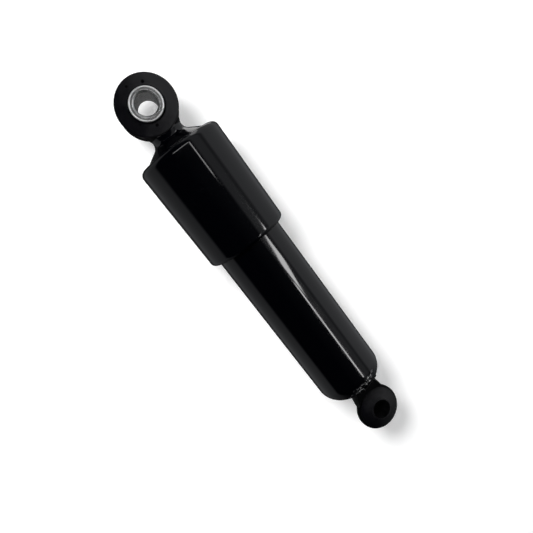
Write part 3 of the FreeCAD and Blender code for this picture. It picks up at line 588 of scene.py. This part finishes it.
def make_backdrop():
    """A pale sheet close behind the damper. It takes the shadow; reflections go through it."""
    reach = BACKDROP_REACH
    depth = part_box("dust_shroud")[1].y + BACKDROP_GAP
    corners = [(-reach, depth, -reach), (reach, depth, -reach),
               (reach, depth, reach), (-reach, depth, reach)]
    mesh = bpy.data.meshes.new("backdrop")
    mesh.from_pydata(corners, [], [(0, 1, 2, 3)])
    add_object("backdrop", mesh)

    material = bpy.data.materials.new("backdrop")
    material.use_nodes = True
    n = Nodes(material.node_tree)
    n.tree.nodes.clear()
    lit = n.add("ShaderNodeBsdfDiffuse")
    lit.inputs["Color"].default_value = (BACKDROP_GREY, BACKDROP_GREY, BACKDROP_GREY, 1)
    glow = n.add("ShaderNodeEmission")
    glow.inputs["Color"].default_value = (1, 1, 1, 1)
    glow.inputs["Strength"].default_value = BACKDROP_GLOW
    seen = n.add("ShaderNodeAddShader")
    n.link(lit.outputs[0], seen.inputs[0])
    n.link(glow.outputs[0], seen.inputs[1])

    # Only the camera sees the sheet, and only from its front.
    clear = n.add("ShaderNodeBsdfTransparent")
    front = n.calculate("SUBTRACT", n.add("ShaderNodeLightPath").outputs["Is Camera Ray"],
                        n.add("ShaderNodeNewGeometry").outputs["Backfacing"], use_clamp=True)
    one_sided = n.add("ShaderNodeMixShader")
    n.link(front, one_sided.inputs[0])
    n.link(clear.outputs[0], one_sided.inputs[1])
    n.link(seen.outputs[0], one_sided.inputs[2])
    n.link(one_sided.outputs[0], n.add("ShaderNodeOutputMaterial").inputs["Surface"])
    mesh.materials.append(material)


def make_world():
    """White where the camera and reflections look past the damper, and a dim room elsewhere."""
    world = bpy.data.worlds.new("room")
    bpy.context.scene.world = world
    world.use_nodes = True
    n = Nodes(world.node_tree)
    n.tree.nodes.clear()
    toward = n.add("ShaderNodeSeparateXYZ")
    n.link(n.add("ShaderNodeTexCoord").outputs["Generated"], toward.inputs[0])

    ramp = n.add("ShaderNodeValToRGB")
    stops = ramp.color_ramp.elements
    for degrees, _ in ROOM[1:-1]:
        stops.new((degrees + 180) / 360)
    for stop, (_, grey) in zip(stops, ROOM):
        stop.color = (grey, grey * ROOM_GREEN, grey * ROOM_BLUE, 1)
    front = n.calculate("MULTIPLY", toward.outputs["Y"], -1.0)
    angle = n.calculate("ARCTAN2", toward.outputs["X"], front)
    n.link(n.spread(angle, 0.0, 1.0, -math.pi, math.pi), ramp.inputs["Fac"])
    room = n.add("ShaderNodeBackground")
    n.link(ramp.outputs["Color"], room.inputs["Color"])
    n.link(n.spread(toward.outputs["Z"], 0.0, 1.0, *FLOOR_DARK), room.inputs["Strength"])

    path = n.add("ShaderNodeLightPath")
    reflected = n.calculate("ADD", path.outputs["Is Glossy Ray"],
                            path.outputs["Is Transmission Ray"])
    behind = n.calculate("MULTIPLY", reflected,
                         n.spread(toward.outputs["Y"], 0.0, WHITE_SHARE, *BEHIND))
    share = n.calculate("MAXIMUM", path.outputs["Is Camera Ray"], behind)
    white = n.add("ShaderNodeBackground")
    white.inputs["Color"].default_value = (1, 1, 1, 1)
    white.inputs["Strength"].default_value = 1.0
    either = n.add("ShaderNodeMixShader")
    n.link(share, either.inputs[0])
    n.link(room.outputs[0], either.inputs[1])
    n.link(white.outputs[0], either.inputs[2])
    n.link(either.outputs[0], n.add("ShaderNodeOutputWorld").inputs["Surface"])


def key_light():
    """A soft lamp near the camera, as bright on the backdrop's corners as in its middle."""
    data = bpy.data.lights.new("key", "POINT")
    data.shadow_soft_size = KEY_RADIUS
    data.energy = KEY_POWER
    data.use_nodes = True
    n = Nodes(data.node_tree)
    even = n.add("ShaderNodeLightFalloff")
    even.inputs["Strength"].default_value = 1.0
    n.link(even.outputs["Constant"], n.tree.nodes["Emission"].inputs["Strength"])
    light = add_object("key", data)
    light.location = KEY_PLACE
    light.visible_glossy = False


def panel(name, start, end, width, brightness):
    """A flat lit panel between two points, facing the damper."""
    along = (end - start).normalized()
    centre = (start + end) / 2
    face = centre - Vector((0, 0, centre.z))
    face = (face - along * face.dot(along)).normalized()
    data = bpy.data.lights.new(name, "AREA")
    data.shape = "RECTANGLE"
    data.size = width
    data.size_y = (end - start).length
    data.energy = PANEL_POWER * brightness * data.size * data.size_y
    light = add_object(name, data)
    light.location = centre
    light.rotation_euler = Matrix((along.cross(face), along, face)).transposed().to_euler()


dress_nodes()
sleeve_ends()
bore_lining()
moulding_pips()
lower_beads()
flexing_springs()

make_camera()
make_backdrop()
make_world()
key_light()
for name, start, end, width, brightness in PANELS:
    panel(name, around(*start), around(*end), width, brightness)
bpy.context.scene.view_settings.view_transform = "Standard"
